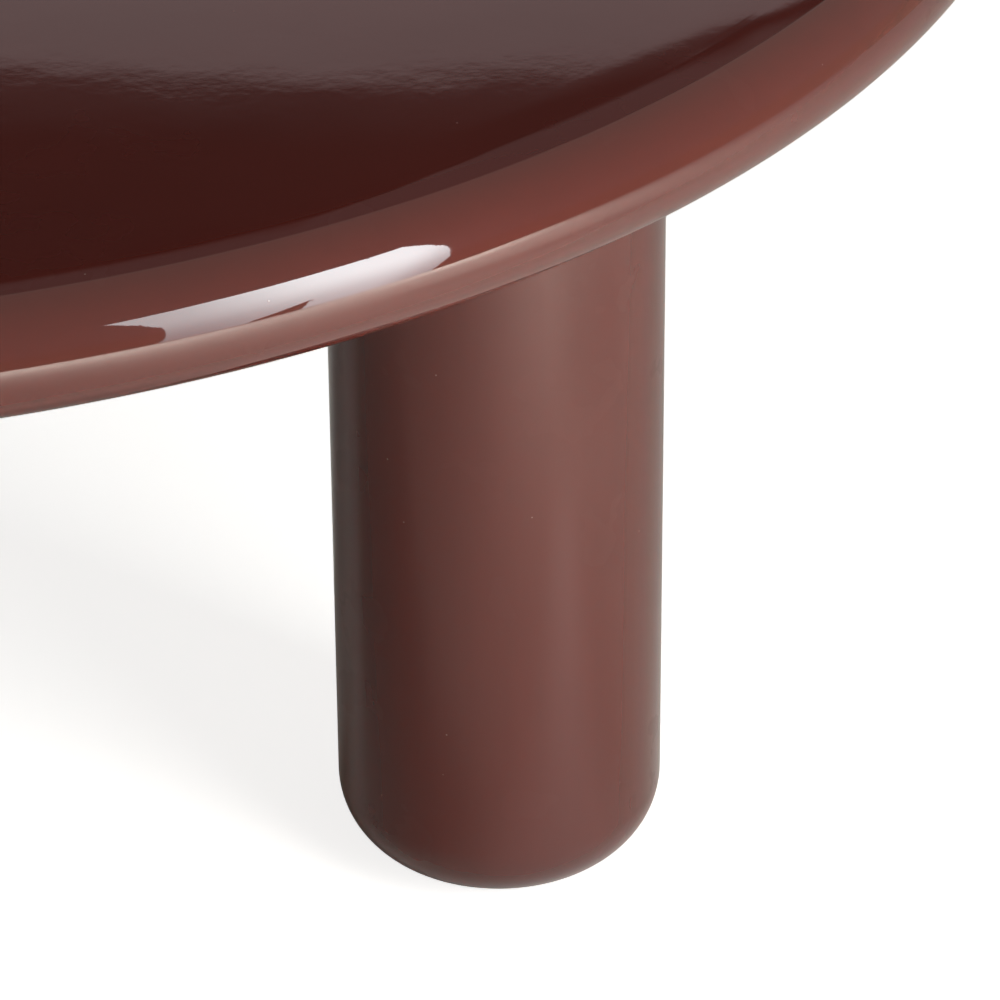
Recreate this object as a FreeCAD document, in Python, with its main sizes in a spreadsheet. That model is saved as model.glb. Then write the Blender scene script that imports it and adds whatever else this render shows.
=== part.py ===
import FreeCAD, Part
import math
import os
import Sketcher

# Round cocktail table: a flat top with a bevelled bullnose rim on four round column legs.
# The table's axis is Z, the floor is z = 0, and the legs stand on the diagonals of X and Y.

# Driving sizes in millimetres, angles in degrees, and shares.
SIZES = {
    # Overall size and the rim's section
    "overall_height": 381,
    "top_diameter": 1067,
    "nose_radius": 24.3,
    "crest_angle": 70,
    "crest_round": 4,
    "bevel_width": 9,
    "bevel_angle": 4,
    "bevel_round": 90,
    "rim_land": 3,
    # Boards of the built-up top
    "panel_thickness": 18,
    "panel_ledge": 20,
    "underside_thickness": 6,
    "underside_ledge": 10,
    "board_gap": 0.2,
    "block_share": 0.85,
    "rail_width": 60,
    # Legs
    "leg_diameter": 126,
    "leg_inset": 61.5,
    "foot_round": 31,
    "leg_top_ease": 1.5,
    # Leg plates, their screws and the bolts into the legs
    "plate_radius": 46,
    "plate_thickness": 3,
    "boss_radius": 9,
    "boss_share": 0.75,
    "bolt_radius": 5,
    "bolt_depth": 48,
    "bolt_tip": 5,
    "screw_circle_radius": 36,
    "screw_radius": 2,
    "screw_head_radius": 4,
    "screw_head_share": 0.7,
    "screw_depth_share": 0.8,
    "screw_point_share": 0.25,
    # Levelling glides and the threaded inserts in the feet
    "glide_height": 5,
    "pad_radius": 19,
    "pad_round": 1.5,
    "pad_floor": 1.8,
    "stud_radius": 4,
    "stud_reach": 24,
    "stud_point": 1,
    "insert_wall": 1.6,
    "insert_length": 20,
    "insert_flange": 5,
    "insert_flange_thickness": 1.5,
    # Play between round pieces that fit into each other, and room past a blind end
    "fit_gap": 0.25,
    "end_room": 3,
}

# Corners of the square that the legs stand on, with their angle from X, and the angles of the
# screws round a plate.
CORNER_NAMES = ("front_right", "back_right", "back_left", "front_left")
QUARTER_ANGLE = 360 / len(CORNER_NAMES)
CORNERS = {name: QUARTER_ANGLE * (order - 0.5) for order, name in enumerate(CORNER_NAMES)}
SCREW_ANGLES = [QUARTER_ANGLE * (order + 0.5) for order in range(len(CORNER_NAMES))]

# Radii of the top, as expressions of the driving sizes.
NOSE_AXIS = "(dims.top_diameter / 2 - dims.nose_radius)"
CREST_RADIUS = f"({NOSE_AXIS} + dims.nose_radius * cos(dims.crest_angle))"
BEVEL_RUN = "(dims.bevel_round * tan(dims.bevel_angle / 2))"
FIELD_EDGE = f"({CREST_RADIUS} - dims.bevel_width - {BEVEL_RUN})"
BEVEL_RADIUS = f"({CREST_RADIUS} - dims.bevel_width + {BEVEL_RUN} * cos(dims.bevel_angle))"
PANEL_RADIUS = f"({FIELD_EDGE} - dims.rim_land)"
LEDGE_RADIUS = f"({PANEL_RADIUS} - dims.panel_ledge)"
UNDERSIDE_RADIUS = f"({LEDGE_RADIUS} + dims.underside_ledge)"

# Heights of the top.
CREST_HEIGHT = "(dims.overall_height - dims.bevel_width * tan(dims.bevel_angle))"
BEVEL_HEIGHT = f"(dims.overall_height - {BEVEL_RUN} * sin(dims.bevel_angle))"
RIM_BOTTOM = f"({CREST_HEIGHT} - dims.nose_radius * (1 + sin(dims.crest_angle)))"
NOSE_HEIGHT = f"({RIM_BOTTOM} + dims.nose_radius)"
PANEL_BOTTOM = "(dims.overall_height - dims.panel_thickness)"
CORE_BOTTOM = f"({RIM_BOTTOM} + dims.underside_thickness)"
CORE_HEIGHT = f"({PANEL_BOTTOM} - {CORE_BOTTOM})"

# Legs and the core under the field.
LEG_RADIUS = "(dims.leg_diameter / 2)"
LEG_CIRCLE = f"(dims.top_diameter / 2 - dims.leg_inset - {LEG_RADIUS})"
LEG_LENGTH = f"({RIM_BOTTOM} - dims.glide_height)"
BLOCK_HALF = f"(({LEDGE_RADIUS} - {LEG_CIRCLE}) * dims.block_share)"
RAIL_HALF = f"({LEG_CIRCLE} - {BLOCK_HALF})"

# Hardware.
BOSS_HEIGHT = f"({CORE_HEIGHT} * dims.boss_share)"
BOLT_BORE = "(dims.bolt_radius + dims.fit_gap)"
HEAD_HEIGHT = "((dims.underside_thickness - dims.plate_thickness) * dims.screw_head_share)"
SCREW_REACH = f"({CORE_HEIGHT} * dims.screw_depth_share)"
SCREW_BORE = "(dims.screw_radius + dims.fit_gap)"
STUD_BORE = "(dims.stud_radius + dims.fit_gap)"
INSERT_RADIUS = f"({STUD_BORE} + dims.insert_wall)"
FLANGE_RADIUS = f"({INSERT_RADIUS} + dims.insert_flange)"
FOOT_BORE_DEPTH = "(max(dims.stud_reach; dims.insert_length) + dims.end_room)"

doc = FreeCAD.newDocument("cocktail_table")
dims = doc.addObject("Spreadsheet::Sheet", "dims")
for row, (alias, number) in enumerate(SIZES.items(), start=1):
    dims.set(f"A{row}", alias)
    dims.set(f"B{row}", str(number))
    dims.setAlias(f"B{row}", alias)
doc.recompute()


def size(expression):
    """Number that an expression of the driving sizes gives."""
    return float(dims.evalExpression(expression))


def new_body(label):
    body = doc.addObject("PartDesign::Body", label)
    body.Label = label
    return body


def new_sketch(body, name, role):
    """Sketch on one of the body's own origin planes."""
    sketch = body.newObject("Sketcher::SketchObject", f"{body.Name}_{name}")
    plane = next(feature for feature in body.Origin.OriginFeatures if feature.Role == role)
    sketch.AttachmentSupport = [(plane, "")]
    sketch.MapMode = "FlatFace"
    return sketch


def bind(sketch, kind, where, expression):
    """Adds a dimension to a sketch and ties it to an expression."""
    index = sketch.addConstraint(Sketcher.Constraint(kind, *where, size(expression)))
    sketch.setExpression(f"Constraints[{index}]", expression)


def pin(sketch, geometry, point, place):
    """Holds a point of a sketch at a place given by two expressions."""
    for kind, axis, expression in zip(("DistanceX", "DistanceY"), (-2, -1), place):
        if expression == "0":
            sketch.addConstraint(Sketcher.Constraint("PointOnObject", geometry, point, axis))
        else:
            bind(sketch, kind, (-1, 1, geometry, point), expression)


def outline(sketch, steps):
    """Closed outline that runs anticlockwise. A step is a corner, or a corner with the centre and
    radius of the arc that leads to the next corner and turns the same way."""
    corners = [FreeCAD.Vector(size(step[0][0]), size(step[0][1]), 0) for step in steps]
    sides = []
    for index, step in enumerate(steps):
        start = corners[index]
        end = corners[(index + 1) % len(corners)]
        if len(step) == 1:
            sides.append(sketch.addGeometry(Part.LineSegment(start, end)))
            continue
        centre, radius = step[1:]
        middle = FreeCAD.Vector(size(centre[0]), size(centre[1]), 0)
        angles = [math.atan2(point.y - middle.y, point.x - middle.x) for point in (start, end)]
        circle = Part.Circle(middle, FreeCAD.Vector(0, 0, 1), size(radius))
        sides.append(sketch.addGeometry(Part.ArcOfCircle(circle, *angles)))
        bind(sketch, "Radius", (sides[-1],), radius)
    for index, side in enumerate(sides):
        following = sides[(index + 1) % len(sides)]
        sketch.addConstraint(Sketcher.Constraint("Coincident", side, 2, following, 1))
        pin(sketch, side, 1, steps[index][0])


def circle(sketch, place, radius):
    """Circle whose centre and radius are expressions."""
    middle = FreeCAD.Vector(size(place[0]), size(place[1]), 0)
    geometry = sketch.addGeometry(Part.Circle(middle, FreeCAD.Vector(0, 0, 1), size(radius)))
    pin(sketch, geometry, 3, place)
    bind(sketch, "Radius", (geometry,), radius)


def turn(body, steps):
    """Solid of revolution about the body's Z axis, from an outline of radii and heights."""
    sketch = new_sketch(body, "profile", "XZ_Plane")
    outline(sketch, steps)
    feature = body.newObject("PartDesign::Revolution", f"{body.Name}_turned")
    feature.Profile = sketch
    feature.ReferenceAxis = (sketch, ["V_Axis"])
    feature.Angle = 360
    doc.recompute()
    return feature


def pad(body, sketch, height):
    feature = body.newObject("PartDesign::Pad", f"{body.Name}_pad")
    feature.Profile = sketch
    feature.setExpression("Length", height)
    doc.recompute()


def place(item, radius, angle, height):
    """Stands an item at a radius and angle from the table's axis, and turns it to face that way."""
    item.Placement = FreeCAD.Placement(FreeCAD.Vector(), FreeCAD.Rotation(FreeCAD.Vector(0, 0, 1), angle))
    item.setExpression("Placement.Base.x", f"{radius} * cos({angle})")
    item.setExpression("Placement.Base.y", f"{radius} * sin({angle})")
    item.setExpression("Placement.Base.z", height)


def around(radius, angle):
    """Two expressions for a point at a radius and angle."""
    return f"({radius} * cos({angle}))", f"({radius} * sin({angle}))"


def make_rim_ring():
    """Bullnose rim: a round nose up to the crest, then a bevel that rounds into the field. A rabbet
    above takes the top panel and one below takes the underside panel."""
    body = new_body("rim_ring")
    panel_seat = f"({PANEL_RADIUS} + dims.board_gap)"
    underside_seat = f"({UNDERSIDE_RADIUS} + dims.board_gap)"
    bevel_centre = (FIELD_EDGE, "(dims.overall_height - dims.bevel_round)")
    turned = turn(body, [
        ((NOSE_AXIS, RIM_BOTTOM), (NOSE_AXIS, NOSE_HEIGHT), "dims.nose_radius"),
        ((CREST_RADIUS, CREST_HEIGHT),),
        ((BEVEL_RADIUS, BEVEL_HEIGHT), bevel_centre, "dims.bevel_round"),
        ((FIELD_EDGE, "dims.overall_height"),),
        ((panel_seat, "dims.overall_height"),),
        ((panel_seat, PANEL_BOTTOM),),
        ((LEDGE_RADIUS, PANEL_BOTTOM),),
        ((LEDGE_RADIUS, CORE_BOTTOM),),
        ((underside_seat, CORE_BOTTOM),),
        ((underside_seat, RIM_BOTTOM),),
    ])
    names = [
        f"Edge{index}"
        for index, edge in enumerate(turned.Shape.Edges, start=1)
        if isinstance(edge.Curve, Part.Circle)
        and math.isclose(edge.Curve.Radius, size(CREST_RADIUS))
        and math.isclose(edge.Curve.Center.z, size(CREST_HEIGHT))
    ]
    fillet = body.newObject("PartDesign::Fillet", "rim_ring_crest")
    fillet.Base = (turned, names)
    fillet.setExpression("Radius", "dims.crest_round")
    return body


def make_top_panel():
    """Round board that makes the flat field."""
    body = new_body("top_panel")
    turn(body, [
        (("0", PANEL_BOTTOM),),
        ((PANEL_RADIUS, PANEL_BOTTOM),),
        ((PANEL_RADIUS, "dims.overall_height"),),
        (("0", "dims.overall_height"),),
    ])
    return body


def make_underside_panel():
    """Thin round board that closes the top from below, cut out round each leg plate."""
    body = new_body("underside_panel")
    sketch = new_sketch(body, "outline", "XY_Plane")
    circle(sketch, ("0", "0"), UNDERSIDE_RADIUS)
    for angle in CORNERS.values():
        circle(sketch, around(LEG_CIRCLE, angle), "(dims.plate_radius + dims.board_gap)")
    pad(body, sketch, "dims.underside_thickness")
    body.setExpression("Placement.Base.z", RIM_BOTTOM)
    return body


def make_leg_block(corner, angle):
    """Square block inside the top, bored for the plate's boss and its screws."""
    body = new_body(f"leg_block_{corner}")
    sketch = new_sketch(body, "outline", "XY_Plane")
    outline(sketch, [
        ((f"-{BLOCK_HALF}", f"-{BLOCK_HALF}"),),
        ((BLOCK_HALF, f"-{BLOCK_HALF}"),),
        ((BLOCK_HALF, BLOCK_HALF),),
        ((f"-{BLOCK_HALF}", BLOCK_HALF),),
    ])
    circle(sketch, ("0", "0"), "(dims.boss_radius + dims.fit_gap)")
    for screw_angle in SCREW_ANGLES:
        circle(sketch, around("dims.screw_circle_radius", screw_angle), SCREW_BORE)
    pad(body, sketch, CORE_HEIGHT)
    place(body, LEG_CIRCLE, angle, CORE_BOTTOM)
    return body


def make_cross_rail(label, angle, notch_height):
    """Rail between two opposite blocks, halved at the middle over the other rail."""
    rail = doc.addObject("Part::Box", f"{label}_blank")
    rail.setExpression("Length", f"2 * {RAIL_HALF}")
    rail.setExpression("Width", "dims.rail_width")
    rail.setExpression("Height", CORE_HEIGHT)
    rail.setExpression("Placement.Base.x", f"-{RAIL_HALF}")
    rail.setExpression("Placement.Base.y", "-dims.rail_width / 2")
    notch = doc.addObject("Part::Box", f"{label}_notch")
    notch.setExpression("Length", "dims.rail_width")
    notch.setExpression("Width", "dims.rail_width")
    notch.setExpression("Height", f"{CORE_HEIGHT} / 2")
    notch.setExpression("Placement.Base.x", "-dims.rail_width / 2")
    notch.setExpression("Placement.Base.y", "-dims.rail_width / 2")
    notch.setExpression("Placement.Base.z", notch_height)
    cut = doc.addObject("Part::Cut", label)
    cut.Label = label
    cut.Base = rail
    cut.Tool = notch
    place(cut, "0", angle, CORE_BOTTOM)
    return cut


def make_leg(corner, angle):
    """Turned column with a rounded foot, bored above for the bolt and below for the insert."""
    body = new_body(f"leg_{corner}")
    foot_flat = f"({LEG_RADIUS} - dims.foot_round)"
    insert_bore = f"({INSERT_RADIUS} + dims.fit_gap)"
    flange_bore = f"({FLANGE_RADIUS} + dims.fit_gap)"
    bolt_floor = f"({LEG_LENGTH} - dims.bolt_depth - dims.end_room)"
    turn(body, [
        ((flange_bore, "0"),),
        ((foot_flat, "0"), (foot_flat, "dims.foot_round"), "dims.foot_round"),
        ((LEG_RADIUS, "dims.foot_round"),),
        ((LEG_RADIUS, f"({LEG_LENGTH} - dims.leg_top_ease)"),),
        ((f"({LEG_RADIUS} - dims.leg_top_ease)", LEG_LENGTH),),
        ((BOLT_BORE, LEG_LENGTH),),
        ((BOLT_BORE, bolt_floor),),
        (("0", bolt_floor),),
        (("0", FOOT_BORE_DEPTH),),
        ((insert_bore, FOOT_BORE_DEPTH),),
        ((insert_bore, "dims.insert_flange_thickness"),),
        ((flange_bore, "dims.insert_flange_thickness"),),
    ])
    place(body, LEG_CIRCLE, angle, "dims.glide_height")
    return body


def make_mounting_plate(corner, angle):
    """Round steel plate with a threaded boss, drilled for its screws."""
    body = new_body(f"mounting_plate_{corner}")
    boss_top = f"(dims.plate_thickness + {BOSS_HEIGHT})"
    turned = turn(body, [
        ((BOLT_BORE, "0"),),
        (("dims.plate_radius", "0"),),
        (("dims.plate_radius", "dims.plate_thickness"),),
        (("dims.boss_radius", "dims.plate_thickness"),),
        (("dims.boss_radius", boss_top),),
        ((BOLT_BORE, boss_top),),
    ])
    sketch = new_sketch(body, "holes", "XY_Plane")
    for screw_angle in SCREW_ANGLES:
        circle(sketch, around("dims.screw_circle_radius", screw_angle), SCREW_BORE)
    holes = body.newObject("PartDesign::Pocket", f"{body.Name}_drilled")
    holes.Profile = sketch
    holes.Type = "ThroughAll"
    holes.Midplane = True
    doc.recompute()
    if not holes.Shape.Volume < turned.Shape.Volume:
        raise RuntimeError(f"{body.Label} has no screw holes")
    place(body, LEG_CIRCLE, angle, f"({CORE_BOTTOM} - dims.plate_thickness)")
    return body


def make_foot_insert(corner, angle):
    """Flanged sleeve that takes the glide's stud, flush in the foot."""
    body = new_body(f"foot_insert_{corner}")
    turn(body, [
        ((STUD_BORE, "0"),),
        ((FLANGE_RADIUS, "0"),),
        ((FLANGE_RADIUS, "dims.insert_flange_thickness"),),
        ((INSERT_RADIUS, "dims.insert_flange_thickness"),),
        ((INSERT_RADIUS, "dims.insert_length"),),
        ((STUD_BORE, "dims.insert_length"),),
    ])
    place(body, LEG_CIRCLE, angle, "dims.glide_height")
    return body


def make_leveller_stud(corner, angle):
    """Threaded stud of a glide, from its socket in the pad up into the foot."""
    body = new_body(f"leveller_stud_{corner}")
    tip = "(dims.glide_height + dims.stud_reach)"
    turn(body, [
        (("0", "dims.pad_floor"),),
        (("dims.stud_radius", "dims.pad_floor"),),
        (("dims.stud_radius", f"({tip} - dims.stud_point)"),),
        (("(dims.stud_radius - dims.stud_point)", tip),),
        (("0", tip),),
    ])
    place(body, LEG_CIRCLE, angle, "0")
    return body


def make_leveller_pad(corner, angle):
    """Round foot of a glide, with a socket for its stud and a rounded lower edge."""
    body = new_body(f"leveller_pad_{corner}")
    sole = "(dims.pad_radius - dims.pad_round)"
    turn(body, [
        (("0", "0"),),
        ((sole, "0"), (sole, "dims.pad_round"), "dims.pad_round"),
        (("dims.pad_radius", "dims.pad_round"),),
        (("dims.pad_radius", "dims.glide_height"),),
        ((STUD_BORE, "dims.glide_height"),),
        ((STUD_BORE, "dims.pad_floor"),),
        (("0", "dims.pad_floor"),),
    ])
    place(body, LEG_CIRCLE, angle, "0")
    return body


def make_group(label, pattern, places):
    """Separate solids of one pattern, each at its own radius, angle and height."""
    group = doc.addObject("Part::Feature", label)
    group.Label = label
    solids = []
    for x, y, z in places:
        solid = pattern.Shape.copy()
        solid.translate(FreeCAD.Vector(x, y, z))
        solids.append(solid)
    group.Shape = Part.makeCompound(solids)
    return group


def corner_centres():
    """Places of the leg axes, as numbers, with the angle of each."""
    radius = size(LEG_CIRCLE)
    for angle in CORNERS.values():
        turned = math.radians(angle)
        yield radius * math.cos(turned), radius * math.sin(turned), angle


def make_hanger_bolts():
    """One bolt to a leg, from the plate's boss down into the leg, with a pointed wood end."""
    bolt = new_body("hanger_bolt_pattern")
    turn(bolt, [
        (("0", "0"),),
        (("dims.bolt_radius", "dims.bolt_tip"),),
        (("dims.bolt_radius", f"(dims.bolt_depth + dims.underside_thickness + {BOSS_HEIGHT})"),),
        (("0", f"(dims.bolt_depth + dims.underside_thickness + {BOSS_HEIGHT})"),),
    ])
    height = size(f"({RIM_BOTTOM} - dims.bolt_depth)")
    return make_group("hanger_bolts", bolt, [(x, y, height) for x, y, _ in corner_centres()])


def make_plate_screws():
    """Four pan head screws to a plate, up through it into the block."""
    screw = new_body("plate_screw_pattern")
    shank = f"({HEAD_HEIGHT} + dims.plate_thickness + {SCREW_REACH})"
    turn(screw, [
        (("0", "0"),),
        (("dims.screw_head_radius", "0"),),
        (("dims.screw_head_radius", HEAD_HEIGHT),),
        (("dims.screw_radius", HEAD_HEIGHT),),
        (("dims.screw_radius", f"({shank} - {SCREW_REACH} * dims.screw_point_share)"),),
        (("0", shank),),
    ])
    height = size(f"({CORE_BOTTOM} - dims.plate_thickness - {HEAD_HEIGHT})")
    radius = size("dims.screw_circle_radius")
    places = []
    for x, y, angle in corner_centres():
        for screw_angle in SCREW_ANGLES:
            turned = math.radians(angle + screw_angle)
            places.append((x + radius * math.cos(turned), y + radius * math.sin(turned), height))
    return make_group("plate_screws", screw, places)


nodes = [
    make_rim_ring(),
    make_top_panel(),
    make_underside_panel(),
    make_cross_rail("cross_rail_under", CORNERS["back_right"], f"{CORE_HEIGHT} / 2"),
    make_cross_rail("cross_rail_over", CORNERS["back_left"], "0"),
]
for corner, angle in CORNERS.items():
    nodes += [
        make_leg_block(corner, angle),
        make_mounting_plate(corner, angle),
        make_leg(corner, angle),
        make_foot_insert(corner, angle),
        make_leveller_stud(corner, angle),
        make_leveller_pad(corner, angle),
    ]
doc.recompute()
nodes += [make_hanger_bolts(), make_plate_screws()]
doc.recompute()

for item in doc.Objects:
    if "Invalid" in item.State or "Error" in item.State:
        raise RuntimeError(f"{item.Label} failed: {item.State}")
for node in nodes:
    if node.Shape.isNull() or not node.Shape.isValid():
        raise RuntimeError(f"{node.Label} has no valid shape")

os.makedirs("parts", exist_ok=True)
for node in nodes:
    node.Shape.exportStep(f"parts/{node.Label}.step")
    print(node.Label, len(node.Shape.Solids), round(node.Shape.Volume))
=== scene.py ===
import math

import bpy
from mathutils import Matrix, Vector


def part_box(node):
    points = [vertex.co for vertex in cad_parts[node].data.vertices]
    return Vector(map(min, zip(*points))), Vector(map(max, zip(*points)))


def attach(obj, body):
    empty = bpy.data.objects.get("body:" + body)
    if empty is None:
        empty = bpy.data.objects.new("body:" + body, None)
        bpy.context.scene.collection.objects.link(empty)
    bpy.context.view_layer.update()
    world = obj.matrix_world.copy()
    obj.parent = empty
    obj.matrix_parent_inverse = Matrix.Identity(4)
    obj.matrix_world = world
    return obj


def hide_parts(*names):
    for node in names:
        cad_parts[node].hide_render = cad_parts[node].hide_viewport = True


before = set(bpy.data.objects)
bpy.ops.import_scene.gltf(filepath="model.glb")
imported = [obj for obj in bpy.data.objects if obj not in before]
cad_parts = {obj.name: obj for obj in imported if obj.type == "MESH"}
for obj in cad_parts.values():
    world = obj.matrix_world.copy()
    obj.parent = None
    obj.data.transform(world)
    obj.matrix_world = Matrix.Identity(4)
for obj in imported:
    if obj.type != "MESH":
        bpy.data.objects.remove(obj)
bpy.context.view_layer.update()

scene = bpy.context.scene
scene.view_settings.view_transform = "Standard"

# Boxes of the CAD nodes that set the sizes of the top, in metres.
rim_low, rim_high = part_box("rim_ring")
panel_low, panel_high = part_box("top_panel")
under_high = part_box("underside_panel")[1]

# Rim section: a round nose up to the crest, an eased crest and a bevel that blends into the field.
NOSE_RADIUS = 0.0243
CREST_ANGLE = math.radians(70)
CREST_ROUND = 0.004
BEVEL_WIDTH = 0.009
BEVEL_ANGLE = math.radians(4)
BEVEL_ROUND = 0.09
# Rubbing down takes a little off the field near the crest: the radius where that starts, and the
# radius of its curve.
RUB_START = 0.4875
RUB_RADIUS = 1.33
# Rabbets for the boards: the ledge that carries the panel, and the room round each board. The piece
# for the panel fills its room, because the lacquer runs over it.
PANEL_LEDGE = 0.02
BOARD_GAP = 0.0002

# Legs: the rounded foot, the eased top edge, and the bores for insert and bolt.
FOOT_ROUND = 0.031
LEG_TOP_EASE = 0.0015
FLANGE_BORE = 0.0111
FLANGE_DEPTH = 0.0015
INSERT_BORE = 0.0061
INSERT_DEPTH = 0.027
BOLT_BORE = 0.00525
BOLT_DEPTH = 0.051

# Levelling studs.
THREAD_PITCH = 0.00125
THREAD_DEPTH = 0.0006
STUD_POINT = 0.001

# Steps of each arc, steps in one pitch of the thread, sides of the turned pieces and the angle from
# which an edge is sharp.
NOSE_STEPS = 72
CREST_STEPS = 12
BEVEL_STEPS = 16
RUB_STEPS = 12
FOOT_STEPS = 28
THREAD_STEPS = 8
RIM_SIDES = 512
LEG_SIDES = 160
STUD_SIDES = 48
SHARP_ANGLE = math.radians(35)

CORNERS = ("front_right", "back_right", "back_left", "front_left")

# Photograph's camera: place in metres, angles in degrees, lens in millimetres.
CAMERA_PLACE = (0.1436, -2.0832, 1.2816)
CAMERA_HEADING = 4.673
CAMERA_DIP = 32.001
CAMERA_ROLL = 0.413
CAMERA_LENS = 200.86

# Linear colours.
LACQUER_DEEP = (0.0792, 0.0126, 0.0088, 1)
LACQUER_WARM = (0.0917, 0.0148, 0.0104, 1)
DUST = (0.2, 0.12, 0.1, 1)
SEALER_DARK = (0.022, 0.0125, 0.0095, 1)
SEALER_PALE = (0.05, 0.03, 0.022, 1)
BOARD_DARK = (0.26, 0.17, 0.095, 1)
BOARD_PALE = (0.46, 0.33, 0.2, 1)
ZINC_DULL = (0.5, 0.5, 0.48, 1)
ZINC_BRIGHT = (0.66, 0.66, 0.63, 1)
NYLON_DARK = (0.014, 0.012, 0.011, 1)
NYLON_PALE = (0.024, 0.021, 0.019, 1)

# Heights in the finishes, in metres.
RIM_WAVES = 2e-4
RIM_STREAKS = 2e-5
FLAT_WAVES = 6e-5
PEEL_HEIGHT = 8e-6
NIB_HEIGHT = 2e-5
SEALER_HEIGHT = 4e-5
BOARD_HEIGHT = 8e-5
ZINC_HEIGHT = 1.2e-5
NYLON_HEIGHT = 3e-5

# How often the lacquer's faint clouds come in a metre, along each axis.
TOP_CLOUDS = (9, 9, 9)
LEG_CLOUDS = (36, 36, 5)

# Most values of a noise lie between these two.
NOISE_LOW = 0.3
NOISE_HIGH = 0.7

# Room and floor of the studio: radiances, and sizes in metres.
ROOM_COLOUR = (1, 0.95, 0.86, 1)
ROOM_LIGHT = 0.29
ROOM_SHOWN = 0.53
FLOOR_SIZE = 40
FLOOR_COLOUR = (0.86, 0.8, 0.74, 1)
FLOOR_GLOW = 0.8
FLOOR_DROP = 2e-4

# Painted light and shade on the floor, which only reflections see: a painted pool of light, a painted shade
# with painted light beyond it, a painted dim patch and a painted glow farther out. Headings are in degrees.
# The rows are for Tree.span: where a change starts and ends, in metres, and the light or the share at its
# start and end.
FAR_LIGHT = (0.3, 1.5, 0, 0.32)
POOL_HEADING = -47
POOL_SHIFT = 0.025
POOL_START = (0, 0.08, 0, 1)
POOL_NEAR = (0.28, 0.42, 1, 0)
POOL_WIDTH = (0, 0.1, 0.3, 0)
SHADE_HEADING = 185
SHADE_FAN = 0.5
SHADE_START = (0, 0.1, 0, 1)
SHADE_LENGTH = (0.2, 0.6, 0.41, 0.1)
SHADE_EDGE = (0, 0.06, 0, 1)
SHADE_WIDTH = (0.08, 0.2, 1, 0)
SHADE_CLOSE = (0, 0.06, 0.41, 0)
BEYOND_LIGHT = (-0.05, 0, 0.05, 0)
DIM_HEADING = -30
DIM_START = (0.36, 0.5, 0, 0.23)
DIM_NEAR = (0.58, 0.68, 1, 0)
DIM_WIDTH = (0.08, 0.3, 1, 0)

# Softbox: its place, the point it faces, its width and height, and its outline in widths and heights
# from its middle. The rows are for Tree.span, across or up the outline.
SOFTBOX_PLACE = (1.205, -1.479, 0.67)
SOFTBOX_AIM = (0.19, -0.5, 0.67)
SOFTBOX_WIDTH = 0.745
SOFTBOX_HEIGHT = 1.213
SOFTBOX_OUTLINE = [
    (0.54, 0.5), (-0.53, 0.5), (-0.525, 0.1), (-0.485, -0.3), (-0.44, -0.53), (-0.008, -0.53),
    (-0.024, -0.31), (0.18, -0.53), (0.45, -0.53), (0.447, -0.3), (0.448, -0.03), (0.488, 0.28),
]
SOFTBOX_COLOUR = (0.91, 0.975, 1, 1)
SOFTBOX_LIGHT = 15.5
SOFTBOX_SIDE = (-0.3, 0.47, SOFTBOX_LIGHT, 0.44 * SOFTBOX_LIGHT)
SOFTBOX_BOTTOM = (-0.55, 0.2, 0.48, 1)
SOFTBOX_SLANT = 0.35
SOFTBOX_CORNER = (-0.64, -0.36, 0.66, 1)

# Far wall: each row has a place across it, the height where the pale part ends and the height where
# the dark part above it ends. The glows go up the wall.
WALL_PLACE = 3.4
WALL_TOP = 5
WALL_EDGES = [
    (-3, 2.32, 3.56), (0.05, 2.33, 3.55), (0.35, 2.36, 3.52), (0.58, 2.36, 3.42), (0.67, 2.36, 2.74),
    (0.72, 2.36, 2.69), (0.92, 2.38, 2.7), (1.16, 2.63, 2.88), (1.23, 2.7, 2.85), (1.6, 2.72, 2.8),
]
WALL_GLOWS = (0.53, 0.53, 0.47, 0.08, 0.02, 0.015, 0.17, 0.17)
WALL_COLOUR = (1.2, 1, 1, 1)
# Soft edges of the far wall's parts, in metres, and at most in shares of the dark part's height.
WALL_PALE_FADE = 0.12
WALL_PALE_EDGE = 0.018
WALL_DARK_START = 0.08
WALL_DARK_START_SHARE = 0.3
WALL_DARK_FADE = 0.2
WALL_DARK_FADE_SHARE = 0.5
WALL_DIM_START = 0.05

# Low glowing ring round the table, where the sweep of a studio ends.
SWEEP_RADIUS = 2.05
SWEEP_THICKNESS = 0.01
SWEEP_HEIGHT = 0.45
SWEEP_SIDES = 128
SWEEP_COLOUR = (1.15, 1, 0.8, 1)
SWEEP_LIGHT = 0.46

# Lamps that point down: place, size in metres and power in watts.
LAMPS = {
    "floor_lamp_right": ((0.98, -1.15, 0.85), 0.9, 11.5),
    "floor_lamp_front": ((0.55, -1.8, 0.7), 0.8, 14.5),
    "floor_lamp_far": ((1.47, -1.2, 0.38), 0.35, 5),
}
LAMP_COLOUR = (1, 0.96, 0.9)
LAMP_SPREAD = math.radians(100)


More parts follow.
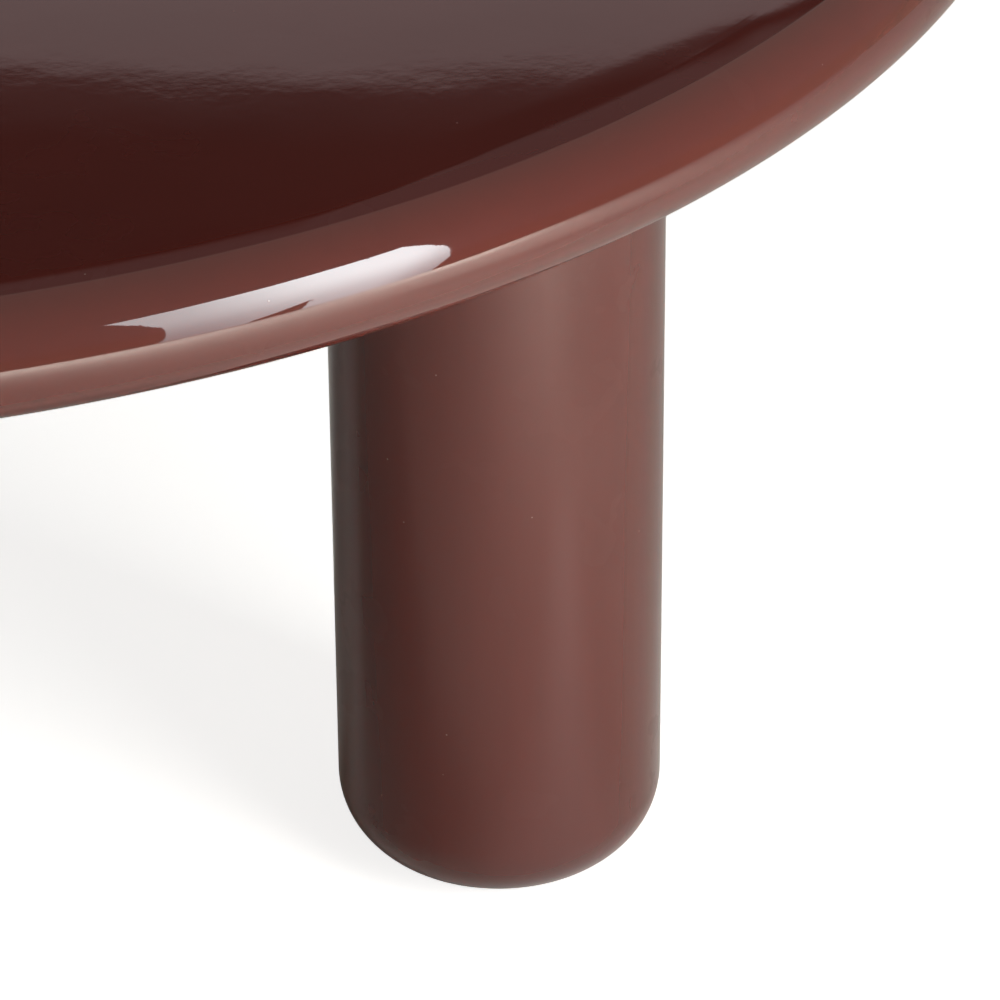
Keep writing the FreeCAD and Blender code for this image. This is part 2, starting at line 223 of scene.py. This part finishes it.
class Tree:
    """Node tree, emptied, with short calls to add nodes."""

    def __init__(self, tree):
        self.tree = tree
        self.tree.nodes.clear()

    def add(self, kind, inputs=(), **settings):
        """Adds a node. An input's value is a number, a colour or another node's output."""
        node = self.tree.nodes.new(kind)
        for key, value in settings.items():
            setattr(node, key, value)
        for key, value in dict(inputs).items():
            if isinstance(value, bpy.types.NodeSocket):
                self.tree.links.new(value, node.inputs[key])
            else:
                node.inputs[key].default_value = value
        return node

    def coordinates(self):
        return self.add("ShaderNodeTexCoord").outputs["Object"]

    def axes(self, vector):
        return self.add("ShaderNodeSeparateXYZ", {"Vector": vector}).outputs

    def noise(self, vector, scale, detail=2, roughness=0.5):
        inputs = {"Vector": vector, "Scale": scale, "Detail": detail, "Roughness": roughness}
        return self.add("ShaderNodeTexNoise", inputs).outputs["Fac"]

    def ramp(self, noise, low, high):
        """Colour that goes from low to high with a noise."""
        node = self.add("ShaderNodeValToRGB", {"Fac": noise})
        first, last = node.color_ramp.elements
        first.position = NOISE_LOW
        first.color = low
        last.position = NOISE_HIGH
        last.color = high
        return node.outputs["Color"]

    def span(self, value, start=NOISE_LOW, end=NOISE_HIGH, low=0, high=1):
        """Number that goes smoothly from low to high as the value goes from start to end."""
        inputs = {0: value, 1: start, 2: end, 3: low, 4: high}
        node = self.add("ShaderNodeMapRange", inputs, interpolation_type="SMOOTHSTEP")
        return node.outputs[0]

    def math(self, operation, first, second=0.0):
        return self.add("ShaderNodeMath", {0: first, 1: second}, operation=operation).outputs[0]

    def mix(self, factor, first, second):
        """Mix of two colours, which are inputs 6 and 7 and output 2 of the node."""
        inputs = {0: factor, 6: first, 7: second}
        return self.add("ShaderNodeMix", inputs, data_type="RGBA").outputs[2]

    def bump(self, height, distance, normal=None):
        inputs = {"Height": height, "Distance": distance, "Strength": 1.0}
        if normal is not None:
            inputs["Normal"] = normal
        return self.add("ShaderNodeBump", inputs).outputs["Normal"]

    def emission(self, colour, strength):
        return self.add("ShaderNodeEmission", {"Color": colour, "Strength": strength}).outputs[0]


class Nodes(Tree):
    """Node tree of a new material."""

    def __init__(self, name):
        self.material = bpy.data.materials.new(name)
        self.material.use_nodes = True
        super().__init__(self.material.node_tree)

    def surface(self, shader):
        self.add("ShaderNodeOutputMaterial", {"Surface": shader})
        return self.material

    def principled(self, inputs):
        return self.surface(self.add("ShaderNodeBsdfPrincipled", inputs).outputs[0])


def lacquer(name, waves, streaks, cloud_scales):
    """Oxblood gloss lacquer: slow waves and fine peel in the film, faint clouds and a few dust nibs.
    Waves and streaks are heights. The streaks run round the table, as a rim is rubbed down."""
    nodes = Nodes(name)
    where = nodes.coordinates()
    cloudy = nodes.add("ShaderNodeVectorMath", {0: where, 1: cloud_scales}, operation="MULTIPLY").outputs[0]
    clouds = nodes.noise(cloudy, scale=1, detail=4, roughness=0.55)
    cells = nodes.add("ShaderNodeTexVoronoi", {"Vector": where, "Scale": 60}).outputs["Distance"]
    nibs = nodes.span(cells, start=0.01, end=0.028, low=1, high=0)
    colour = nodes.mix(nibs, nodes.ramp(clouds, LACQUER_DEEP, LACQUER_WARM), DUST)
    haze = nodes.span(nodes.noise(where, scale=30, detail=3), low=0.22, high=0.28)
    normal = nodes.bump(nodes.noise(where, scale=22, detail=1, roughness=0.4), waves)
    normal = nodes.bump(nodes.noise(where, scale=190, detail=3), PEEL_HEIGHT, normal)
    if streaks:
        axes = nodes.axes(where)
        squares = [nodes.math("MULTIPLY", axes[axis], axes[axis]) for axis in "XY"]
        reach = nodes.math("SQRT", nodes.math("ADD", *squares))
        across = nodes.add("ShaderNodeCombineXYZ", {"X": reach, "Y": axes["Z"]}).outputs[0]
        patches = nodes.span(nodes.noise(where, scale=7), start=0.35, end=0.65)
        lines = nodes.math("MULTIPLY", nodes.noise(across, scale=420, roughness=0.6), patches)
        normal = nodes.bump(lines, streaks, normal)
    normal = nodes.bump(nibs, NIB_HEIGHT, normal)
    return nodes.principled({
        "Base Color": colour,
        "Roughness": haze,
        "IOR": 1.45,
        "Specular IOR Level": 0.012,
        "Normal": normal,
        "Coat Weight": 1.0,
        "Coat Roughness": 0.022,
        "Coat IOR": 1.6,
        "Coat Normal": normal,
    })


def sealed_board():
    """Dark satin sealer on board, with the board's fibres showing through."""
    nodes = Nodes("sealed_board_finish")
    where = nodes.coordinates()
    fibres = nodes.noise(where, scale=420, detail=4, roughness=0.7)
    patches = nodes.noise(where, scale=14, detail=3)
    return nodes.principled({
        "Base Color": nodes.mix(nodes.span(fibres, start=0.35, end=0.75), SEALER_DARK, SEALER_PALE),
        "Roughness": nodes.span(patches, low=0.42, high=0.58),
        "Normal": nodes.bump(fibres, SEALER_HEIGHT),
    })


def core_board():
    """Raw fibreboard, with short pale and dark fibres."""
    nodes = Nodes("core_board_finish")
    where = nodes.coordinates()
    fibres = nodes.noise(where, scale=520, detail=5, roughness=0.75)
    patches = nodes.noise(where, scale=20, detail=3)
    return nodes.principled({
        "Base Color": nodes.mix(nodes.span(fibres, start=0.3, end=0.75), BOARD_DARK, BOARD_PALE),
        "Roughness": nodes.span(patches, low=0.75, high=0.9),
        "Normal": nodes.bump(fibres, BOARD_HEIGHT),
    })


def zinc_steel():
    """Bright zinc plate, with fine drawn marks and duller patches."""
    nodes = Nodes("zinc_steel_finish")
    where = nodes.coordinates()
    grain = nodes.noise(where, scale=1500, detail=3, roughness=0.6)
    patches = nodes.noise(where, scale=90, detail=3)
    return nodes.principled({
        "Base Color": nodes.ramp(patches, ZINC_DULL, ZINC_BRIGHT),
        "Metallic": 1.0,
        "Roughness": nodes.span(patches, low=0.24, high=0.42),
        "Normal": nodes.bump(grain, ZINC_HEIGHT),
    })


def nylon():
    """Dark moulded nylon, with a fine spark-eroded grain."""
    nodes = Nodes("nylon_finish")
    where = nodes.coordinates()
    grain = nodes.noise(where, scale=1800, roughness=0.6)
    patches = nodes.noise(where, scale=60, detail=3)
    return nodes.principled({
        "Base Color": nodes.ramp(patches, NYLON_DARK, NYLON_PALE),
        "Roughness": nodes.span(grain, low=0.45, high=0.62),
        "Normal": nodes.bump(grain, NYLON_HEIGHT),
    })


def new_object(name, points, faces):
    mesh = bpy.data.meshes.new(name)
    mesh.from_pydata(points, [], faces)
    mesh.validate()
    mesh.shade_smooth()
    mesh.set_sharp_from_angle(angle=SHARP_ANGLE)
    item = bpy.data.objects.new(name, mesh)
    scene.collection.objects.link(item)
    return item


def turned(name, profile, sides, radius_at=None):
    """Closed solid turned about Z from a profile of radii and heights that runs up the outside.
    A profile that starts off the axis is closed from its end to its start. A point on the axis
    becomes a pole."""
    points = []
    rings = []
    for radius, height in profile:
        ring = []
        for side in range(sides if radius else 1):
            angle = 2 * math.pi * side / sides
            reach = radius_at(radius, height, angle) if radius_at else radius
            ring.append(len(points))
            points.append((reach * math.cos(angle), reach * math.sin(angle), height))
        rings.append(ring * (sides if not radius else 1))
    pairs = list(zip(rings, rings[1:]))
    if profile[0][0]:
        pairs.append((rings[-1], rings[0]))
    faces = []
    for low, high in pairs:
        for side in range(sides):
            after = (side + 1) % sides
            corners = (low[side], low[after], high[after], high[side])
            face = list(dict.fromkeys(corners))
            if len(face) > 2:
                faces.append(face)
    return new_object(name, points, faces)


def arc(centre, radius, start, end, steps):
    """Points of an arc in the plane of radii and heights, with both ends."""
    for step in range(steps + 1):
        angle = start + (end - start) * step / steps
        yield centre[0] + radius * math.cos(angle), centre[1] + radius * math.sin(angle)


def rubbed(point, low, high):
    """Point of the top's section after rubbing down, which fades out from a high level to a low one."""
    radius, height = point
    depth = max(0, radius - RUB_START) ** 2 / (2 * RUB_RADIUS)
    return radius, height - depth * max(0, (height - low) / (high - low))


def rim_profile(seat):
    """Rim's section, from the nose up over the crest and bevel to the seat of the field, and back."""
    bottom = rim_low.z
    top = panel_high.z
    nose = Vector((rim_high.x - NOSE_RADIUS, bottom + NOSE_RADIUS))
    crest = nose + NOSE_RADIUS * Vector((math.cos(CREST_ANGLE), math.sin(CREST_ANGLE)))
    inward = Vector((-math.cos(BEVEL_ANGLE), math.sin(BEVEL_ANGLE)))
    outward = Vector((math.sin(BEVEL_ANGLE), math.cos(BEVEL_ANGLE)))
    # The eased crest touches the nose from inside and lies under the bevel's line.
    start = crest - outward * CREST_ROUND
    lean = (start - nose).dot(inward)
    reach = (NOSE_RADIUS - CREST_ROUND) ** 2 - (start - nose).length_squared
    ease = start - inward * (lean + math.sqrt(lean ** 2 + reach))
    nose_end = math.atan2(ease.y - nose.y, ease.x - nose.x)
    bevel_turn = math.pi / 2 - BEVEL_ANGLE
    field_edge = crest.x - BEVEL_WIDTH - BEVEL_ROUND * math.tan(BEVEL_ANGLE / 2)
    blend = (field_edge, top - BEVEL_ROUND)
    profile = list(arc(nose, NOSE_RADIUS, -math.pi / 2, nose_end, NOSE_STEPS))
    profile += list(arc(ease, CREST_ROUND, nose_end, bevel_turn, CREST_STEPS))[1:]
    profile += list(arc(blend, BEVEL_ROUND, bevel_turn, math.pi / 2, BEVEL_STEPS))
    profile.append((seat, top))
    profile = [rubbed(point, nose.y, top) for point in profile]
    ledge = panel_high.x - PANEL_LEDGE
    under_seat = under_high.x + BOARD_GAP
    profile += [
        (seat, panel_low.z),
        (ledge, panel_low.z),
        (ledge, under_high.z),
        (under_seat, under_high.z),
        (under_seat, bottom),
    ]
    return profile


def field_profile(seat):
    """Field's section, from its lower face round its edge to the middle of its upper face."""
    bottom = panel_low.z
    top = panel_high.z
    profile = [(0, bottom), (seat, bottom)]
    for step in range(RUB_STEPS + 1):
        radius = seat + (RUB_START - seat) * step / RUB_STEPS
        profile.append(rubbed((radius, top), bottom, top))
    profile.append((0, top))
    return profile


def leg_profile(low, high):
    """Leg's section with its foot at 0: the rounded foot, the column and the bores at both ends."""
    radius = (high.x - low.x) / 2
    length = high.z - low.z
    profile = [(FLANGE_BORE, 0)]
    profile += list(arc((radius - FOOT_ROUND, FOOT_ROUND), FOOT_ROUND, -math.pi / 2, 0, FOOT_STEPS))
    profile += [
        (radius, length - LEG_TOP_EASE),
        (radius - LEG_TOP_EASE, length),
        (BOLT_BORE, length),
        (BOLT_BORE, length - BOLT_DEPTH),
        (0, length - BOLT_DEPTH),
        (0, INSERT_DEPTH),
        (INSERT_BORE, INSERT_DEPTH),
        (INSERT_BORE, FLANGE_DEPTH),
        (FLANGE_BORE, FLANGE_DEPTH),
    ]
    return profile


def stud_profile(low, high):
    """Stud's section with its foot at 0, in steps fine enough for its thread."""
    radius = (high.x - low.x) / 2
    length = high.z - low.z
    steps = round((length - STUD_POINT) / THREAD_PITCH * THREAD_STEPS)
    profile = [(0, 0)]
    profile += [(radius, (length - STUD_POINT) * step / steps) for step in range(steps + 1)]
    profile += [(radius - STUD_POINT, length), (0, length)]
    return profile


def threaded(radius, height, angle):
    """Radius of a right-hand thread whose crests stay at the full radius."""
    turns = (height / THREAD_PITCH - angle / (2 * math.pi)) % 1
    return radius - THREAD_DEPTH * abs(2 * turns - 1)


def stand(item, low, high):
    """Stands a turned piece at the bottom of a node's box, in its middle."""
    item.location = ((low.x + high.x) / 2, (low.y + high.y) / 2, low.z)


def dress(piece, body, material, slot, *nodes):
    """Gives a piece its body, its material and the CAD nodes that it stands for."""
    piece.data.materials.append(material)
    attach(piece, body)
    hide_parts(*nodes)


rim_gloss = lacquer("rim_lacquer_finish", RIM_WAVES, RIM_STREAKS, TOP_CLOUDS)
gloss = lacquer("lacquer_finish", FLAT_WAVES, 0, TOP_CLOUDS)
leg_gloss = lacquer("leg_lacquer_finish", FLAT_WAVES, 0, LEG_CLOUDS)
zinc = zinc_steel()

seat = panel_high.x + BOARD_GAP
rim = turned("lacquered_rim", rim_profile(seat), RIM_SIDES)
dress(rim, "table", rim_gloss, "lacquer", "rim_ring")
field = turned("lacquered_field", field_profile(seat), RIM_SIDES)
dress(field, "table", gloss, "lacquer", "top_panel")

for order, corner in enumerate(CORNERS):
    low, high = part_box(f"leg_{corner}")
    leg = turned(f"lacquered_leg_{corner}", leg_profile(low, high), LEG_SIDES)
    stand(leg, low, high)
    # A quarter turn from leg to leg puts another side of the finish to the front.
    leg.rotation_euler.z = order * math.pi / 2
    dress(leg, "table", leg_gloss, "lacquer", f"leg_{corner}")
    low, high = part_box(f"leveller_stud_{corner}")
    stud = turned(f"threaded_stud_{corner}", stud_profile(low, high), STUD_SIDES, threaded)
    stand(stud, low, high)
    dress(stud, f"leveller_{corner}", zinc, "zinc_steel", f"leveller_stud_{corner}")

# Finishes of the CAD nodes that show as they are, by the start of their names.
finishes = {
    "underside_panel": sealed_board(),
    "cross_rail": core_board(),
    "mounting_plate": zinc,
    "foot_insert": zinc,
    "hanger_bolts": zinc,
    "plate_screws": zinc,
    "leveller_pad": nylon(),
}
finishes["leg_block"] = finishes["cross_rail"]
for name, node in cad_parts.items():
    for start, material in finishes.items():
        if name.startswith(start):
            for slot in node.material_slots:
                slot.material = material


def from_leg(nodes, heading):
    """Place on the floor from the near leg's middle: X along a heading, Y to its left."""
    low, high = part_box("leg_front_right")
    inputs = {
        "Vector": nodes.coordinates(),
        "Location": ((low.x + high.x) / 2, (low.y + high.y) / 2, 0),
        "Rotation": (0, 0, math.radians(heading)),
    }
    return nodes.axes(nodes.add("ShaderNodeMapping", inputs, vector_type="TEXTURE").outputs[0])


def painted_floor_pool(nodes, distance):
    """Painted pool of light before the near leg, for reflections in things that are close to it."""
    axes = from_leg(nodes, POOL_HEADING)
    length = nodes.math("MULTIPLY", nodes.span(axes["X"], *POOL_START), nodes.span(distance, *POOL_NEAR))
    aside = nodes.math("ABSOLUTE", nodes.math("ADD", axes["Y"], POOL_SHIFT))
    return nodes.math("MULTIPLY", length, nodes.span(aside, *POOL_WIDTH))


def painted_floor_shade(nodes, distance):
    """Painted shade of the near leg and of all that touches the floor, and painted light beyond the leg's
    shade.
    """
    axes = from_leg(nodes, SHADE_HEADING)
    start = nodes.span(axes["X"], *SHADE_START)
    length = nodes.math("MULTIPLY", start, nodes.span(axes["X"], *SHADE_LENGTH))
    fan = nodes.math("ADD", axes["Y"], nodes.math("MULTIPLY", axes["X"], SHADE_FAN))
    width = nodes.math("MULTIPLY", nodes.span(fan, *SHADE_EDGE), nodes.span(axes["Y"], *SHADE_WIDTH))
    close = nodes.span(distance, *SHADE_CLOSE)
    shade = nodes.math("MAXIMUM", nodes.math("MULTIPLY", length, width), close)
    beyond = nodes.math("MULTIPLY", start, nodes.span(fan, *BEYOND_LIGHT))
    return shade, beyond


def painted_floor_dimness(nodes, distance):
    """Painted shade: a dim patch farther out than the pool."""
    axes = from_leg(nodes, DIM_HEADING)
    length = nodes.math("MULTIPLY", nodes.span(axes["X"], *DIM_START), nodes.span(distance, *DIM_NEAR))
    aside = nodes.math("ABSOLUTE", axes["Y"])
    return nodes.math("MULTIPLY", length, nodes.span(aside, *DIM_WIDTH))


def floor_finish():
    """Pale matt floor. It glows where the camera sees it, and is clear from below. In reflections it has a
    painted glow, weaker the closer the thing that reflects it is, which is painted shade near things.
    Reflections also see the painted pool of light, the painted shade, the painted light beyond it and the
    painted dim patch."""
    nodes = Nodes("floor_finish")
    path = nodes.add("ShaderNodeLightPath").outputs
    distance = path["Ray Length"]
    mirrored = nodes.math("MAXIMUM", path["Is Glossy Ray"], path["Is Transmission Ray"])
    shade, beyond = painted_floor_shade(nodes, distance)
    shade = nodes.math("MAXIMUM", shade, painted_floor_dimness(nodes, distance))
    light = nodes.math("ADD", painted_floor_pool(nodes, distance), beyond)
    light = nodes.math("ADD", nodes.span(distance, *FAR_LIGHT), light)
    shown = nodes.math("MULTIPLY", path["Is Camera Ray"], FLOOR_GLOW)
    seen = nodes.math("MAXIMUM", shown, nodes.math("MULTIPLY", mirrored, light))
    matt = nodes.add("ShaderNodeBsdfDiffuse", {"Color": FLOOR_COLOUR}).outputs[0]
    # A mix with no second shader takes the share away: this paints the shade that reflections see.
    share = nodes.math("MULTIPLY", mirrored, shade)
    matt = nodes.add("ShaderNodeMixShader", {0: share, 1: matt}).outputs[0]
    glow = nodes.add("ShaderNodeEmission", {"Strength": seen}).outputs[0]
    both = nodes.add("ShaderNodeAddShader", {0: matt, 1: glow}).outputs[0]
    below = nodes.add("ShaderNodeNewGeometry").outputs["Backfacing"]
    clear = nodes.add("ShaderNodeBsdfTransparent").outputs[0]
    return nodes.surface(nodes.add("ShaderNodeMixShader", {0: below, 1: both, 2: clear}).outputs[0])


def softbox_finish():
    """Light of a softbox whose lamp is near its top and one side: it fades to the other side, to the
    bottom and to the lower corner below the lamp."""
    nodes = Nodes("softbox_finish")
    axes = nodes.axes(nodes.coordinates())
    side = nodes.span(axes["X"], *SOFTBOX_SIDE)
    bottom = nodes.span(axes["Y"], *SOFTBOX_BOTTOM)
    slant = nodes.math("ADD", axes["X"], nodes.math("MULTIPLY", axes["Y"], SOFTBOX_SLANT))
    corner = nodes.span(slant, *SOFTBOX_CORNER)
    strength = nodes.math("MULTIPLY", nodes.math("MULTIPLY", side, bottom), corner)
    return nodes.surface(nodes.emission(SOFTBOX_COLOUR, strength))


def for_reflections_only(item):
    item.visible_camera = False
    item.visible_diffuse = False
    item.visible_shadow = False
    item.visible_transmission = False


def add_floor():
    """Floor just below the soles of the pads, because faces in one plane render in patches."""
    half = FLOOR_SIZE / 2
    points = [(-half, -half, 0), (half, -half, 0), (half, half, 0), (-half, half, 0)]
    floor = new_object("floor", points, [(0, 1, 2, 3)])
    floor.data.materials.append(floor_finish())
    floor.location.z = -FLOOR_DROP


def add_softbox():
    """Softbox that the camera doesn't see."""
    points = [(x, y, 0) for x, y in SOFTBOX_OUTLINE]
    item = new_object("softbox", points, [tuple(range(len(points)))])
    item.data.materials.append(softbox_finish())
    aim = Vector(SOFTBOX_AIM) - Vector(SOFTBOX_PLACE)
    item.matrix_world = (
        Matrix.Translation(SOFTBOX_PLACE)
        @ aim.to_track_quat("Z", "Y").to_matrix().to_4x4()
        @ Matrix.Diagonal((SOFTBOX_WIDTH, SOFTBOX_HEIGHT, 1, 1))
    )
    item.visible_camera = False


def add_far_wall():
    """Wall that only reflections see: pale below, then dark with soft edges, then dim."""
    points = []
    for across, pale_end, dark_end in WALL_EDGES:
        gap = dark_end - pale_end
        heights = (
            0,
            pale_end - WALL_PALE_FADE,
            pale_end - WALL_PALE_EDGE,
            pale_end + WALL_PALE_EDGE,
            pale_end + min(WALL_DARK_START, WALL_DARK_START_SHARE * gap),
            dark_end - min(WALL_DARK_FADE, WALL_DARK_FADE_SHARE * gap),
            dark_end + WALL_DIM_START,
            WALL_TOP,
        )
        points += [(across, WALL_PLACE, height) for height in heights]
    rows = len(WALL_GLOWS)
    faces = []
    for column in range(len(WALL_EDGES) - 1):
        for row in range(rows - 1):
            first = column * rows + row
            faces.append((first, first + rows, first + rows + 1, first + 1))
    item = new_object("far_wall", points, faces)
    glow = item.data.attributes.new("glow", "FLOAT", "POINT")
    glow.data.foreach_set("value", WALL_GLOWS * len(WALL_EDGES))
    nodes = Nodes("far_wall_finish")
    strength = nodes.add("ShaderNodeAttribute", attribute_name="glow").outputs["Fac"]
    item.data.materials.append(nodes.surface(nodes.emission(WALL_COLOUR, strength)))
    for_reflections_only(item)


def add_sweep_end():
    """Low glowing ring round the table that only reflections see."""
    outside = SWEEP_RADIUS + SWEEP_THICKNESS
    profile = [(SWEEP_RADIUS, 0), (outside, 0), (outside, SWEEP_HEIGHT), (SWEEP_RADIUS, SWEEP_HEIGHT)]
    item = turned("sweep_end", profile, SWEEP_SIDES)
    nodes = Nodes("sweep_end_finish")
    item.data.materials.append(nodes.surface(nodes.emission(SWEEP_COLOUR, SWEEP_LIGHT)))
    for_reflections_only(item)


def add_lamps():
    """Lamps that reflections don't see."""
    for name, (place, size, power) in LAMPS.items():
        lamp_data = bpy.data.lights.new(name, "AREA")
        lamp_data.size = size
        lamp_data.energy = power
        lamp_data.color = LAMP_COLOUR
        lamp_data.spread = LAMP_SPREAD
        lamp = bpy.data.objects.new(name, lamp_data)
        scene.collection.objects.link(lamp)
        lamp.location = place
        lamp.visible_glossy = False


def add_room():
    """Plain room, brighter where the camera and reflections see it than in its light on things."""
    world = bpy.data.worlds.new("studio_room")
    scene.world = world
    world.use_nodes = True
    room = Tree(world.node_tree)
    path = room.add("ShaderNodeLightPath").outputs
    shown = room.math("MAXIMUM", path["Is Camera Ray"], path["Is Glossy Ray"])
    shown = room.math("MAXIMUM", shown, path["Is Transmission Ray"])
    strength = room.span(shown, start=0, end=1, low=ROOM_LIGHT, high=ROOM_SHOWN)
    background = room.add("ShaderNodeBackground", {"Color": ROOM_COLOUR, "Strength": strength})
    room.add("ShaderNodeOutputWorld", {"Surface": background.outputs[0]})


def add_camera():
    """Camera of the photograph."""
    camera_data = bpy.data.cameras.new("photo_camera")
    camera_data.lens = CAMERA_LENS
    camera = bpy.data.objects.new("photo_camera", camera_data)
    scene.collection.objects.link(camera)
    camera.matrix_world = (
        Matrix.Translation(CAMERA_PLACE)
        @ Matrix.Rotation(-math.radians(CAMERA_HEADING), 4, "Z")
        @ Matrix.Rotation(math.radians(90 - CAMERA_DIP), 4, "X")
        @ Matrix.Rotation(-math.radians(CAMERA_ROLL), 4, "Z")
    )
    scene.camera = camera


add_floor()
add_softbox()
add_far_wall()
add_sweep_end()
add_lamps()
add_room()
add_camera()

bpy.context.view_layer.update()
